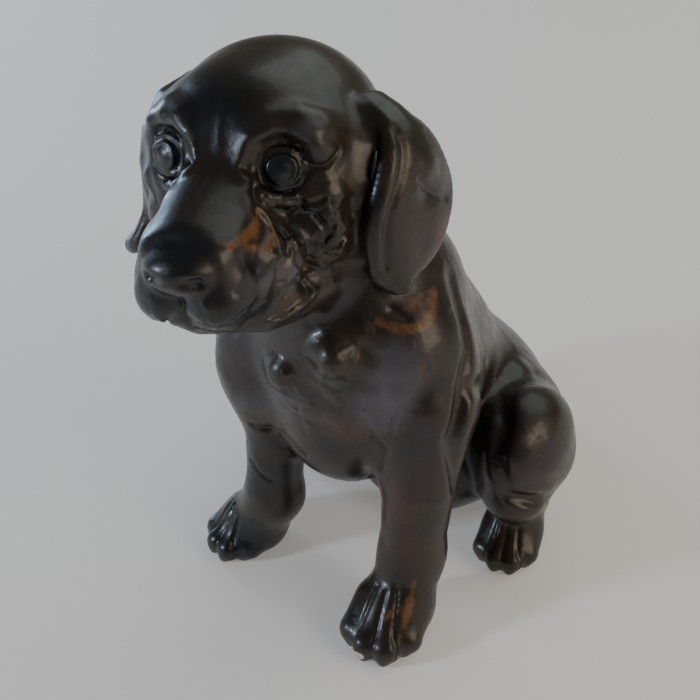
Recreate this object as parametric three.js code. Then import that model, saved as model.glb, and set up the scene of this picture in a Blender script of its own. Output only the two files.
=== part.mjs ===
// A labrador puppy sitting up with its head cocked: one hollow casting with a dark bronze patina,
// shown here as one solid. It looks along -Y, its left side is +X, and it stands on z = 0.
// The figure is built up as clay is: rounded lumps are pressed on one after another, each melting
// into what is there already, and the eyes, lips, ears and toes are put on or cut in last.
import * as THREE from "three";

// Driving dimensions, in millimetres.
const statueHeight = 380;
const meshStep = 2.3;
const triangleCount = 9600;

// Where the head sits on the neck, and how it is turned, tipped back and cocked, in degrees.
const headPlace = { at: [-40, -50, 311], yaw: 16.9, pitch: -14, roll: -1.5 };

// A ball is an ellipsoid with its own turn. A limb is a chain of cones with round ends.
// blend is how far a lump melts into the clay, in millimetres, and a cut is pressed into it.
// A lump with both is also on the other side of the middle plane.
const torso = [
  { ball: [-3, -36, 166], radii: [74, 57, 78], turn: [22, 0, 0] },
  { ball: [0, -4, 148], radii: [62, 60, 78], turn: [26, 0, 0], blend: 30 },
  { limb: [[0, 0, 206], [0, 42, 139], [0, 84, 58]], radii: [42, 46, 52], blend: 30 },
  { ball: [8, 24, 54], radii: [60, 46, 48], blend: 24 },
  { ball: [0, 78, 56], radii: [76, 54, 60], blend: 30 },
  { limb: [[0, -26, 220], [-30, -38, 290]], radii: [58, 50], blend: 30 },
  { ball: [2, -58, 125], radii: [42, 34, 33], blend: 20 },
];

const foreLegs = [
  { ball: [53, -34, 174], radii: [30, 38, 58], turn: [12, 0, 0], blend: 18 },
  { ball: [-63, -50, 158], radii: [31, 42, 56], turn: [12, 0, 0], blend: 18 },
  { limb: [[60, -44, 156], [62, -59, 108], [60, -69, 52]], radii: [30, 24, 21], blend: 16 },
  { limb: [[-56, -56, 152], [-50, -69, 108], [-53, -76, 52]], radii: [30, 21, 19], blend: 16 },
  { limb: [[61, -69, 52], [61, -84, 24]], radii: [21, 22], blend: 10 },
  { limb: [[-53, -76, 52], [-70, -78, 22]], radii: [20, 22], blend: 10 },
];

const hindLegs = [
  { ball: [60, 56, 70], radii: [38, 46, 42], blend: 20, both: true },
  { ball: [46, 66, 33], radii: [36, 36, 34], blend: 14, both: true },
  { ball: [86, 34, 83], radii: [30, 43, 41], blend: 14, both: true },
  { ball: [90, 46, 62], radii: [22, 29, 26], blend: 12, both: true },
  { limb: [[90, 14, 54], [82, 48, 22]], radii: [22, 13], blend: 12, both: true },
  { limb: [[80, 56, 13], [86, 22, 20]], radii: [12, 17], blend: 10, both: true },
];

const tail = [
  {
    limb: [
      [0, 116, 42], [-6, 134, 26], [-20, 148, 17], [-40, 155, 13],
      [-62, 152, 11], [-80, 142, 9], [-92, 130, 8],
    ],
    radii: [27, 21, 16, 13, 11, 9, 7], blend: 14,
  },
];

// Folds, knobs and hollows of the coat: on the breast, behind the shoulder, along the flank and round
// the thigh.
const coat = [
  { ball: [-12, -90, 189], radii: [14, 12, 13], blend: 8 },
  { ball: [24, -86, 212], radii: [14, 12, 15], blend: 8 },
  { ball: [18, -103, 182], radii: [9, 8, 7], blend: 10, cut: true },
  {
    limb: [[60, -8, 236], [80, -24, 200], [85, -40, 182], [88, -58, 152], [85, -52, 112]],
    radii: [2, 3.5, 4, 4, 2], blend: 9, cut: true,
  },
  {
    limb: [[-70, -16, 226], [-90, -34, 190], [-95, -54, 150], [-80, -54, 112]],
    radii: [2, 3.5, 4, 2], blend: 9, cut: true,
  },
  { limb: [[90, -34, 180], [80, 8, 152], [62, 36, 130]], radii: [2.5, 2.5, 1], blend: 9, cut: true },
  {
    limb: [[62, 40, 126], [84, 8, 116], [86, -6, 101], [96, -11, 82]],
    radii: [2, 4, 4, 2], blend: 10, cut: true, both: true,
  },
  {
    limb: [[95, -9, 72], [115, 14, 57], [118, 40, 44]],
    radii: [2, 4, 2], blend: 8, cut: true, both: true,
  },
  { limb: [[-52, -99, 130], [-34, -99, 130], [-12, -98, 134]], radii: [2, 3, 1], blend: 8, cut: true },
  { limb: [[-38, -90, 126], [-28, -82, 108], [-24, -66, 100]], radii: [2, 3, 2], blend: 8, cut: true },
  { limb: [[40, -97, 152], [36, -88, 128], [32, -70, 104]], radii: [1, 3, 2], blend: 10, cut: true },
];

const skull = [
  { ball: [1, 5, 12], radii: [64.5, 69, 58] },
  { ball: [-2, -36, 22], radii: [47, 35, 36], blend: 18 },
  { ball: [42, -24, 6], radii: [25, 30, 34], blend: 16, both: true },
  { ball: [41, -20, -24], radii: [27, 36, 34], blend: 18, both: true },
  { limb: [[-3, -56, 2], [0, -110, -18]], radii: [17, 15], blend: 12 },
  { limb: [[12, -58, 0], [14, -112, -24]], radii: [16, 14], blend: 12, both: true },
  { limb: [[20, -66, -36], [14.5, -109, -46]], radii: [22, 19], blend: 12, both: true },
  { limb: [[0, -36, -54], [0, -100, -60]], radii: [26, 13.5], blend: 8 },
  { ball: [0, -125, -29], radii: [19, 12, 13], blend: 5 },
  {
    limb: [[10, -88, -62], [24, -74, -65], [32, -54, -65], [38, -34, -61], [42, -14, -54]],
    radii: [13, 13.5, 14, 15, 16], blend: 10, both: true,
  },
  {
    limb: [[61, -12, 32], [64, -22, 17], [63, -26, 0], [60, -20, -38]],
    radii: [8, 9, 10, 10], blend: 8, both: true,
  },
];

const brows = [
  {
    limb: [[16, -68, 20], [19, -66, 29], [26, -61, 36], [38, -52, 36]],
    radii: [4, 5, 6, 8], blend: 9, both: true,
  },
  { ball: [47, -43, 28], radii: [10, 10, 11], blend: 8, both: true },
  { limb: [[38, -55, 34], [47, -50, 29], [53, -45, 19]], radii: [6, 8, 6], blend: 5, both: true },
  {
    limb: [[17, -73, 14], [22, -72, 23], [32, -66, 27], [42, -58, 24]],
    radii: [2, 3, 3, 2], blend: 6, cut: true, both: true,
  },
  {
    limb: [[21, -73, 3], [27, -81, -5], [38, -81, -18], [42, -80, -33], [40, -84, -46]],
    radii: [1.5, 2.5, 3, 2.5, 1.5], blend: 7, cut: true, both: true,
  },
  { ball: [22, -68, -2], radii: [6, 5, 5], blend: 5, both: true },
  { ball: [33, -61, -4], radii: [7, 5, 5], blend: 5, both: true },
  { ball: [50, -46, -2], radii: [8, 7, 8], blend: 6, both: true },
];

const mouth = [
  { limb: [[0, -136, -40], [0, -128, -55]], radii: [2.2, 2.6], blend: 4, cut: true },
  {
    limb: [[0, -127, -55], [14, -118, -63], [30, -97, -67], [40, -74, -64], [46, -54, -52]],
    radii: [2.4, 2.4, 2.4, 2.2, 1.6], blend: 4, cut: true, both: true,
  },
  { limb: [[7, -138, -32], [15, -131, -32]], radii: [2.6, 3], blend: 3, cut: true, both: true },
];

// The eyes: the ball's middle, the way it looks, and the sizes of the ball, the socket and the lid.
const eyes = [
  { at: [29.5, -54, 11.5], look: [0.36, -0.92, 0.06] },
  { at: [-33.5, -54, 13.5], look: [-0.36, -0.92, 0.06] },
];
const eyeRadius = 12.8;
const socket = { radius: 13.5, ahead: 13 };
const lidRadius = 13.4;
const lidThickness = 2.2;
const lidOpening = { across: 64, up: 54, down: 50 };

// An ear hangs as a flap between its front and its rear edge, from the top down. It bows outwards,
// and its front edge is rolled.
const ears = [
  {
    front: [
      [60, -14, 35], [75, -24, 26], [79, -33, 14], [76, -40, -3],
      [71, -40, -28], [70, -34, -49], [78, -22, -63],
    ],
    rear: [
      [63, 14, 33], [79, 9, 27], [92, 15, 16], [103, 18, -13],
      [101, 14, -39], [94, 4, -54], [86, -8, -66],
    ],
    bow: 6,
  },
  {
    front: [[-50, -8, 40], [-62, -14, 29], [-66, -26, 0], [-68, -28, -30], [-75, -30, -50], [-84, -24, -58]],
    rear: [[-54, 18, 38], [-74, 22, 26], [-80, 26, -10], [-83, 18, -38], [-88, 0, -56], [-90, -10, -61]],
    bow: -4,
  },
];
const earThickness = 4.5;
const earRoll = 3;
const earSteps = 18;
const earTop = 15;

// A paw: where its middle stands, the way it points (0 is forwards, more turns to its left) and its size.
const paws = [
  { at: [59.5, -95.5], heading: 14, size: 1.12 },
  { at: [-77, -83], heading: -12, size: 1 },
  { at: [88, 13], heading: 16, size: 0.92 },
  { at: [-95, 30], heading: -16, size: 0.92 },
];
// A toe of a paw of size 1: its place across, and how far forward its tip reaches.
const toes = [[-17, 15], [-6, 23], [6, 23], [15, 12]];
const toeRadius = 8.6;
const toeLength = 18;

const radians = THREE.MathUtils.degToRad;

// The lumps of one paw: its palm and its toes.
function pawLumps({ at, heading, size }) {
  const turn = radians(heading);
  const place = (x, y, z) => [
    at[0] + size * (x * Math.cos(turn) - y * Math.sin(turn)),
    at[1] + size * (x * Math.sin(turn) + y * Math.cos(turn)),
    size * z,
  ];
  const palm = {
    ball: place(0, 2, 14),
    radii: [23 * size, 23 * size, 20 * size],
    turn: [0, 0, heading],
    blend: 12,
  };
  const digits = toes.map(([across, reach]) => ({
    limb: [place(across * 0.75, toeLength - reach, 20), place(across, -reach, 10)],
    radii: [toeRadius * size, toeRadius * size],
    blend: 3,
  }));
  return [palm, ...digits];
}

// The socket pressed in, then the eyeball, then the lid: a ring laid round a slightly larger ball.
function eyeLumps({ at, look }) {
  const middle = new THREE.Vector3(...at);
  const ahead = new THREE.Vector3(...look).normalize();
  const side = new THREE.Vector3(0, 0, 1).cross(ahead).normalize();
  const up = ahead.clone().cross(side);
  const ring = [];
  const count = 16;
  for (let i = 0; i <= count; i++) {
    const turn = (2 * Math.PI * i) / count;
    const height = Math.sin(turn) > 0 ? lidOpening.up : lidOpening.down;
    const open = radians(Math.hypot(lidOpening.across * Math.cos(turn), height * Math.sin(turn)));
    const point = middle.clone().addScaledVector(ahead, lidRadius * Math.cos(open));
    point.addScaledVector(side, lidRadius * Math.sin(open) * Math.cos(turn));
    point.addScaledVector(up, lidRadius * Math.sin(open) * Math.sin(turn));
    ring.push(point.toArray());
  }
  const hollow = middle.clone().addScaledVector(ahead, socket.ahead).toArray();
  return [
    { ball: hollow, radii: [socket.radius, socket.radius, socket.radius], blend: 6, cut: true },
    { ball: at, radii: [eyeRadius, eyeRadius, eyeRadius], blend: 1 },
    { limb: ring, radii: ring.map(() => lidThickness), blend: 3 },
  ];
}

// Each shape gives the distance from a point to its surface, negative inside it.
function ball({ ball: [cx, cy, cz], radii: [a, b, c], turn = [0, 0, 0] }) {
  const angles = turn.map(radians);
  const m = new THREE.Matrix4().makeRotationFromEuler(new THREE.Euler(...angles, "ZYX")).elements;
  return (px, py, pz) => {
    const x = px - cx;
    const y = py - cy;
    const z = pz - cz;
    const u = m[0] * x + m[1] * y + m[2] * z;
    const v = m[4] * x + m[5] * y + m[6] * z;
    const w = m[8] * x + m[9] * y + m[10] * z;
    const reach = Math.hypot(u / a, v / b, w / c);
    const slope = Math.hypot(u / (a * a), v / (b * b), w / (c * c));
    return slope > 0 ? (reach * (reach - 1)) / slope : -Math.min(a, b, c);
  };
}

function limb({ limb: points, radii }) {
  const parts = points.slice(1).map(([bx, by, bz], i) => {
    const [ax, ay, az] = points[i];
    const [dx, dy, dz] = [bx - ax, by - ay, bz - az];
    return { ax, ay, az, dx, dy, dz, squared: dx * dx + dy * dy + dz * dz, from: radii[i], to: radii[i + 1] };
  });
  return (px, py, pz) => {
    let nearest = Infinity;
    for (const { ax, ay, az, dx, dy, dz, squared, from, to } of parts) {
      const x = px - ax;
      const y = py - ay;
      const z = pz - az;
      const along = Math.min(1, Math.max(0, (x * dx + y * dy + z * dz) / squared));
      const away = Math.hypot(x - along * dx, y - along * dy, z - along * dz);
      nearest = Math.min(nearest, away - from - along * (to - from));
    }
    return nearest;
  };
}

function flap({ front, rear, bow }) {
  const edges = [front, rear].map((points) =>
    new THREE.CatmullRomCurve3(points.map((p) => new THREE.Vector3(...p))).getPoints(earSteps));
  const made = edges[0].map((f, i) => {
    const across = edges[1][i].clone().sub(f).divideScalar(2);
    return { middle: f.clone().add(across).toArray(), across: across.toArray(), half: across.length() };
  });
  const mix = (a, b, t) => a + (b - a) * t;
  return (px, py, pz) => {
    let nearest = Infinity;
    for (let i = 1; i < made.length; i++) {
      const from = made[i - 1];
      const to = made[i];
      const x = px - from.middle[0];
      const y = py - from.middle[1];
      const z = pz - from.middle[2];
      if (Math.hypot(x, y, z) - from.half > nearest + earTop) continue;
      const [dx, dy, dz] = to.middle.map((v, n) => v - from.middle[n]);
      const length = Math.hypot(dx, dy, dz);
      const [tx, ty, tz] = [dx / length, dy / length, dz / length];
      const t = Math.min(1, Math.max(0, (x * tx + y * ty + z * tz) / length));
      const [rx, ry, rz] = [x - t * dx, y - t * dy, z - t * dz];
      const past = rx * tx + ry * ty + rz * tz;
      let ax = mix(from.across[0], to.across[0], t);
      let ay = mix(from.across[1], to.across[1], t);
      let az = mix(from.across[2], to.across[2], t);
      const lean = ax * tx + ay * ty + az * tz;
      [ax, ay, az] = [ax - lean * tx, ay - lean * ty, az - lean * tz];
      const size = Math.hypot(ax, ay, az);
      [ax, ay, az] = [ax / size, ay / size, az / size];
      const half = mix(from.half, to.half, t);
      const u = rx * ax + ry * ay + rz * az;
      const share = Math.min(1, Math.abs(u) / half);
      const out = rx * (ty * az - tz * ay) + ry * (tz * ax - tx * az) + rz * (tx * ay - ty * ax);
      const thickness = earThickness + earRoll * Math.max(0, -u / half) ** 4;
      const rim = Math.max(Math.abs(u) - half + thickness, 0);
      nearest = Math.min(nearest, Math.hypot(rim, out - bow * (1 - share * share), past) - thickness);
    }
    return nearest;
  };
}

function softMin(a, b, k) {
  const h = Math.max(k - Math.abs(a - b), 0) / k;
  return Math.min(a, b) - (h * h * k) / 4;
}

// A lump too far off to change the clay at a point is passed over.
function press(lumps) {
  const made = lumps.map((lump) => {
    const points = lump.limb ?? [lump.ball];
    const middle = [0, 1, 2].map((n) => points.reduce((sum, p) => sum + p[n], 0) / points.length);
    const spread = Math.max(...points.map((p) => Math.hypot(...p.map((v, n) => v - middle[n]))));
    const shape = lump.limb ? limb(lump) : ball(lump);
    return { ...lump, shape, middle, reach: spread + Math.max(...lump.radii), blend: lump.blend ?? 1 };
  });
  return (start, px, y, z) => {
    let clay = start;
    for (const { shape, middle, reach, blend, both, cut } of made) {
      const x = both ? Math.abs(px) : px;
      const gap = Math.hypot(x - middle[0], y - middle[1], z - middle[2]) - reach - blend;
      if (gap > (cut ? -clay : clay)) continue;
      const d = shape(x, y, z);
      clay = cut ? -softMin(-clay, d, blend) : softMin(clay, d, blend);
    }
    return clay;
  };
}

const headTurn = new THREE.Matrix4().makeRotationFromEuler(
  new THREE.Euler(...[headPlace.pitch, headPlace.roll, headPlace.yaw].map(radians), "ZXY"),
).elements;
const body = press([...torso, ...foreLegs, ...hindLegs, ...tail, ...coat, ...paws.flatMap(pawLumps)]);
const head = press(skull);
const features = press([...brows, ...eyes.flatMap(eyeLumps), ...mouth]);
const earFlaps = ears.map(flap);
const neckBlend = 16;
const earBlend = 6;

function toHead(px, py, pz) {
  const x = px - headPlace.at[0];
  const y = py - headPlace.at[1];
  const z = pz - headPlace.at[2];
  return [
    headTurn[0] * x + headTurn[1] * y + headTurn[2] * z,
    headTurn[4] * x + headTurn[5] * y + headTurn[6] * z,
    headTurn[8] * x + headTurn[9] * y + headTurn[10] * z,
  ];
}

function clay(px, py, pz) {
  const [hx, hy, hz] = toHead(px, py, pz);
  let d = softMin(body(Infinity, px, py, pz), head(Infinity, hx, hy, hz), neckBlend);
  d = features(d, hx, hy, hz);
  for (const ear of earFlaps) d = softMin(d, ear(hx, hy, hz), earBlend);
  return Math.max(d, -pz);
}

// Surface nets: one vertex in each grid cell that the surface crosses, joined across each crossed edge.
function skin(field, low, high, step) {
  const [nx, ny, nz] = low.map((l, n) => Math.ceil((high[n] - l) / step) + 1);
  const at = (i, j, k) => i + nx * (j + ny * k);
  const sample = (...place) => field(...place.map((v, n) => low[n] + v * step)) || Number.EPSILON;
  const values = new Float32Array(nx * ny * nz);
  // Well away from the surface one sample stands for a whole block of the grid.
  const block = 5;
  const near = step * block * 1.7;
  for (let k = 0; k < nz; k += block)
    for (let j = 0; j < ny; j += block)
      for (let i = 0; i < nx; i += block) {
        const middle = sample(i + block / 2, j + block / 2, k + block / 2);
        for (let c = k; c < Math.min(k + block, nz); c++)
          for (let b = j; b < Math.min(j + block, ny); b++)
            for (let a = i; a < Math.min(i + block, nx); a++)
              values[at(a, b, c)] = Math.abs(middle) > near ? middle : sample(a, b, c);
      }
  // A square of the grid with clay at two opposite corners alone is filled up, until none is left, so
  // that the skin nowhere touches itself.
  const filled = -step / 8;
  const ways = [1, nx, nx * ny];
  let pinched = true;
  while (pinched) {
    pinched = false;
    for (let k = 0; k < nz - 1; k++)
      for (let j = 0; j < ny - 1; j++)
        for (let i = 0; i < nx - 1; i++)
          for (let n = 0; n < 3; n++) {
            const a = at(i, j, k);
            const square = [a, a + ways[n], a + ways[n] + ways[(n + 1) % 3], a + ways[(n + 1) % 3]];
            const [p, q, r, s] = square.map((c) => values[c] < 0);
            if (p !== r || q !== s || p === q) continue;
            for (const c of square) values[c] = Math.min(values[c], filled);
            pinched = true;
          }
  }
  const corners = [0, 1, 2, 3, 4, 5, 6, 7].map((c) => [c & 1, (c >> 1) & 1, c >> 2]);
  const edges = corners.flatMap((_, a) => [1, 2, 4].filter((bit) => !(a & bit)).map((bit) => [a, a | bit]));
  const cell = new Int32Array(nx * ny * nz).fill(-1);
  const points = [];
  for (let k = 0; k < nz - 1; k++)
    for (let j = 0; j < ny - 1; j++)
      for (let i = 0; i < nx - 1; i++) {
        const v = corners.map(([a, b, c]) => values[at(i + a, j + b, k + c)]);
        const crossed = edges.filter(([a, b]) => v[a] < 0 !== v[b] < 0);
        if (!crossed.length) continue;
        const place = [i, j, k];
        for (const [a, b] of crossed) {
          const t = v[a] / (v[a] - v[b]);
          const meet = corners[a].map((v, n) => v + t * (corners[b][n] - v));
          meet.forEach((v, n) => { place[n] += v / crossed.length; });
        }
        cell[at(i, j, k)] = points.length;
        points.push(place.map((p, n) => low[n] + step * p));
      }
  const steps = [[1, 0, 0], [0, 1, 0], [0, 0, 1]];
  const faces = [];
  for (let k = 1; k < nz - 1; k++)
    for (let j = 1; j < ny - 1; j++)
      for (let i = 1; i < nx - 1; i++)
        for (let n = 0; n < 3; n++) {
          const inside = values[at(i, j, k)] < 0;
          const next = values[at(i + steps[n][0], j + steps[n][1], k + steps[n][2])] < 0;
          if (inside === next) continue;
          const p = steps[(n + 1) % 3];
          const q = steps[(n + 2) % 3];
          const round = [[0, 0], [1, 0], [1, 1], [0, 1]].map(([a, b]) =>
            cell[at(i - a * p[0] - b * q[0], j - a * p[1] - b * q[1], k - a * p[2] - b * q[2])]);
          if (next) round.reverse();
          faces.push([round[0], round[1], round[2]], [round[0], round[2], round[3]]);
        }
  return { points, faces };
}

// The outer skin alone, so that a pocket closed off between two lumps is solid.
function outside({ points, faces }) {
  const leader = points.map((_, p) => p);
  const root = (p) => {
    while (leader[p] !== p) p = leader[p] = leader[leader[p]];
    return p;
  };
  for (const [a, b, c] of faces) {
    leader[root(b)] = root(a);
    leader[root(c)] = root(a);
  }
  const counts = new Map();
  for (const [a] of faces) counts.set(root(a), (counts.get(root(a)) ?? 0) + 1);
  const [largest] = [...counts].sort((a, b) => b[1] - a[1])[0];
  return { points, faces: faces.filter(([a]) => root(a) === largest) };
}

// Edges are closed up, cheapest first, until few enough facets are left. The cost of a place is how
// far it lies from the planes of the facets that have met there, as a mean square, times the care
// that the place is worth.
const flatness = 1e-4;
const evenness = 1e-4;
const leastTurn = 0.2;

function thin({ points, faces }, wanted, care) {
  const facesAt = points.map(() => new Set());
  faces.forEach((face, f) => face.forEach((p) => facesAt[p].add(f)));
  const planes = points.map(() => new Float64Array(11));
  const version = new Uint32Array(points.length);
  const across = (a, b, c) => {
    const [x, y, z] = [0, 1, 2].map((n) => b[n] - a[n]);
    const [u, v, w] = [0, 1, 2].map((n) => c[n] - a[n]);
    return [y * w - z * v, z * u - x * w, x * v - y * u];
  };
  const dot = (a, b) => a[0] * b[0] + a[1] * b[1] + a[2] * b[2];
  for (const face of faces) {
    const [a, b, c] = face.map((p) => points[p]);
    const normal = across(a, b, c);
    const area = Math.hypot(...normal) || Number.EPSILON;
    const [x, y, z] = normal.map((v) => v / area);
    const w = -dot([x, y, z], a);
    const sums = [x * x, x * y, x * z, x * w, y * y, y * z, y * w, z * z, z * w, w * w, 1];
    for (const p of face) sums.forEach((s, i) => { planes[p][i] += s * area; });
  }
  const cost = (s, [x, y, z]) =>
    s[0] * x * x + 2 * s[1] * x * y + 2 * s[2] * x * z + 2 * s[3] * x + s[4] * y * y + 2 * s[5] * y * z +
    2 * s[6] * y + s[7] * z * z + 2 * s[8] * z + s[9];
  const priced = (s, p) => (cost(s, p) / s[10]) * care(p);
  const solve = (s) => {
    const rows = new THREE.Matrix3(s[0], s[1], s[2], s[1], s[4], s[5], s[2], s[5], s[7]);
    const size = s[0] + s[4] + s[7];
    if (Math.abs(rows.determinant()) < flatness * size ** 3) return null;
    return new THREE.Vector3(-s[3], -s[6], -s[8]).applyMatrix3(rows.invert()).toArray();
  };
  const queue = [];
  const swap = (i, j) => { [queue[i], queue[j]] = [queue[j], queue[i]]; };
  const push = (entry) => {
    let i = queue.push(entry) - 1;
    while (i > 0 && queue[(i - 1) >> 1].cost > queue[i].cost) {
      swap(i, (i - 1) >> 1);
      i = (i - 1) >> 1;
    }
  };
  const pop = () => {
    swap(0, queue.length - 1);
    const top = queue.pop();
    for (let i = 0, child = 1; child < queue.length; child = 2 * i + 1) {
      if (child + 1 < queue.length && queue[child + 1].cost < queue[child].cost) child++;
      if (queue[i].cost <= queue[child].cost) break;
      swap(i, child);
      i = child;
    }
    return top;
  };
  const offer = (a, b) => {
    const sums = planes[a].map((s, i) => s + planes[b][i]);
    const middle = points[a].map((v, n) => (v + points[b][n]) / 2);
    const length = Math.hypot(...points[a].map((v, n) => v - points[b][n]));
    const best = solve(sums);
    const away = best && Math.hypot(...best.map((v, n) => v - middle[n]));
    const places = best && away < length ? [best] : [middle, points[a], points[b]];
    const place = places.reduce((low, p) => (cost(sums, p) < cost(sums, low) ? p : low));
    push({ a, b, place, cost: priced(sums, place) + length * length * evenness, seen: [version[a], version[b]] });
  };
  const around = (p) => new Set([...facesAt[p]].flatMap((f) => faces[f]).filter((q) => q !== p));
  const turnsOver = (p, other, place) =>
    [...facesAt[p]].some((f) => {
      if (faces[f].includes(other)) return false;
      const before = across(...faces[f].map((q) => points[q]));
      const after = across(...faces[f].map((q) => (q === p ? place : points[q])));
      return dot(before, after) < leastTurn * Math.hypot(...before) * Math.hypot(...after);
    });
  points.forEach((_, p) => around(p).forEach((q) => p < q && offer(p, q)));
  let left = faces.length;
  while (left > wanted && queue.length) {
    const { a, b, place, seen } = pop();
    if (seen[0] !== version[a] || seen[1] !== version[b]) continue;
    const shared = [...facesAt[a]].filter((f) => facesAt[b].has(f));
    const nearB = around(b);
    const common = [...around(a)].filter((q) => nearB.has(q));
    if (shared.length !== 2 || common.length !== 2) continue;
    if (common.some((q) => facesAt[q].size < 4)) continue;
    if (turnsOver(a, b, place) || turnsOver(b, a, place)) continue;
    for (const f of shared) faces[f].forEach((p) => facesAt[p].delete(f));
    for (const f of shared) faces[f] = null;
    for (const f of facesAt[b]) {
      faces[f] = faces[f].map((p) => (p === b ? a : p));
      facesAt[a].add(f);
    }
    facesAt[b].clear();
    planes[a] = planes[a].map((s, i) => s + planes[b][i]);
    points[a] = place;
    left -= shared.length;
    version[a]++;
    version[b]++;
    around(a).forEach((q) => offer(a, q));
  }
  return { points, faces: faces.filter((face) => face) };
}

// The clay is cut off flat below, brought to its height and set over the middle of its box.
const low = [-150, -200, -8];
const high = [130, 190, 396];
const spots = [
  { at: [0, -60, -5], reach: 75, worth: 2 },
  { at: [33, -62, 12], reach: 22, worth: 16 },
  { at: [-37, -62, 14], reach: 22, worth: 16 },
  { at: [0, -125, -42], reach: 30, worth: 5 },
];
function care(p) {
  const inHead = toHead(...p);
  const near = spots.filter(({ at, reach }) => Math.hypot(...inHead.map((v, n) => v - at[n])) < reach);
  return Math.max(1, ...near.map(({ worth }) => worth));
}
const figure = thin(outside(skin(clay, low, high, meshStep)), triangleCount, care);
const footing = meshStep / 8;
const used = [...new Set(figure.faces.flat())];
const order = new Map(used.map((p, i) => [p, i]));
const grounded = ([x, y, z]) => [x, y, z < footing ? 0 : z];
const corners = used.flatMap((p) => grounded(figure.points[p]));
const geometry = new THREE.BufferGeometry();
geometry.setAttribute("position", new THREE.BufferAttribute(new Float32Array(corners), 3));
geometry.setIndex(figure.faces.flat().map((p) => order.get(p)));
geometry.computeBoundingBox();
const box = geometry.boundingBox;
const middle = box.getCenter(new THREE.Vector3());
const scale = statueHeight / box.max.z;
geometry.translate(-middle.x, -middle.y, 0).scale(scale, scale, scale);

const bronze = new THREE.MeshStandardMaterial({ color: 0x241f1b, roughness: 0.35, metalness: 0.6 });
const dog = new THREE.Mesh(geometry, bronze);
dog.name = "dog";

const sculpture = new THREE.Group();
sculpture.add(dog);

export default sculpture;
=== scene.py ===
import math

import bpy
import numpy as np
from mathutils import Euler, Matrix, Vector


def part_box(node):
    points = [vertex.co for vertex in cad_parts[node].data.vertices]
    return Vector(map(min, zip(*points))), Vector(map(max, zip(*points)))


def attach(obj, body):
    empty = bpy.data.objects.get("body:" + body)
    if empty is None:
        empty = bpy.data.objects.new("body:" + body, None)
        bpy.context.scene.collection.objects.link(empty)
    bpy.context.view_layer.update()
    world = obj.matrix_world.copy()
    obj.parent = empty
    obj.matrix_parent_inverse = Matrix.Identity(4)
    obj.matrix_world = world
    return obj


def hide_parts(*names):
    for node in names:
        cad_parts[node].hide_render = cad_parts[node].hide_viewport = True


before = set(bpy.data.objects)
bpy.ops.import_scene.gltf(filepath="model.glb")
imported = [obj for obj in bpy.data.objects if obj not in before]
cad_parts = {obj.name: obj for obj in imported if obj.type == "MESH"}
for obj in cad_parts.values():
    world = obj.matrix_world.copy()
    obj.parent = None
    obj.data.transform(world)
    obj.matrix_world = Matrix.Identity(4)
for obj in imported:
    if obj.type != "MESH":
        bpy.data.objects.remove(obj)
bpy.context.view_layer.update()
print("frame loaded")

tiny = 1e-9
farAway = 1000.0

# Lengths are millimetres in the clay's own frame; the finished mesh is moved onto the CAD node.

# The clay. A ball is an ellipsoid with its own turn, a limb is a chain of cones with round ends. "blend" is
# how far a lump melts into the clay, "cut" presses it in, "both" puts it on the other side as well.


def ball(at, radii, blend=1.0, turn=(0, 0, 0), cut=False, both=False):
    radii = (radii,) * 3 if np.isscalar(radii) else radii
    m = np.array(Euler([math.radians(a) for a in turn], "XYZ").to_matrix())
    return dict(kind="ball", points=[at], radii=radii, m=m, blend=blend, cut=cut, both=both)


def limb(points, radii, blend=1.0, cut=False, both=False):
    radii = (radii,) * len(points) if np.isscalar(radii) else radii
    return dict(kind="limb", points=points, radii=radii, blend=blend, cut=cut, both=both)


def ballDistance(lump, p):
    q = (p - np.array(lump["points"][0], np.float32)) @ lump["m"].astype(np.float32)
    r = np.array(lump["radii"], np.float32)
    reach = np.linalg.norm(q / r, axis=1)
    slope = np.linalg.norm(q / (r * r), axis=1)
    return np.where(slope > tiny, reach * (reach - 1) / np.maximum(slope, tiny), -r.min())


def limbDistance(lump, p):
    best = np.full(len(p), np.inf, np.float32)
    points = np.array(lump["points"], np.float32)
    for a, b, ra, rb in zip(points[:-1], points[1:], lump["radii"][:-1], lump["radii"][1:]):
        d = b - a
        q = p - a
        t = np.clip(q @ d / (d @ d), 0, 1)
        away = np.linalg.norm(q - t[:, None] * d, axis=1) - ra - t * (rb - ra)
        best = np.minimum(best, away)
    return best


def softMin(a, b, k):
    h = np.maximum(k - np.abs(a - b), 0) / k
    return np.minimum(a, b) - h * h * k / 4


def press(clay, lumps, p):
    # Only the places near enough to a lump to be changed by it are worked out.
    mirrored = np.column_stack([np.abs(p[:, 0]), p[:, 1:]])
    for lump in lumps:
        points = np.array(lump["points"], np.float32)
        middle = points.mean(0)
        reach = np.linalg.norm(points - middle, axis=1).max() + max(lump["radii"]) + lump["blend"]
        q = mirrored if lump["both"] else p
        gap = np.linalg.norm(q - middle, axis=1) - reach
        near = np.nonzero(gap <= (-clay if lump["cut"] else clay))[0]
        if not len(near):
            continue
        shape = ballDistance if lump["kind"] == "ball" else limbDistance
        d = shape(lump, q[near])
        old = clay[near]
        clay[near] = -softMin(-old, d, lump["blend"]) if lump["cut"] else softMin(old, d, lump["blend"])
    return clay


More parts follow.
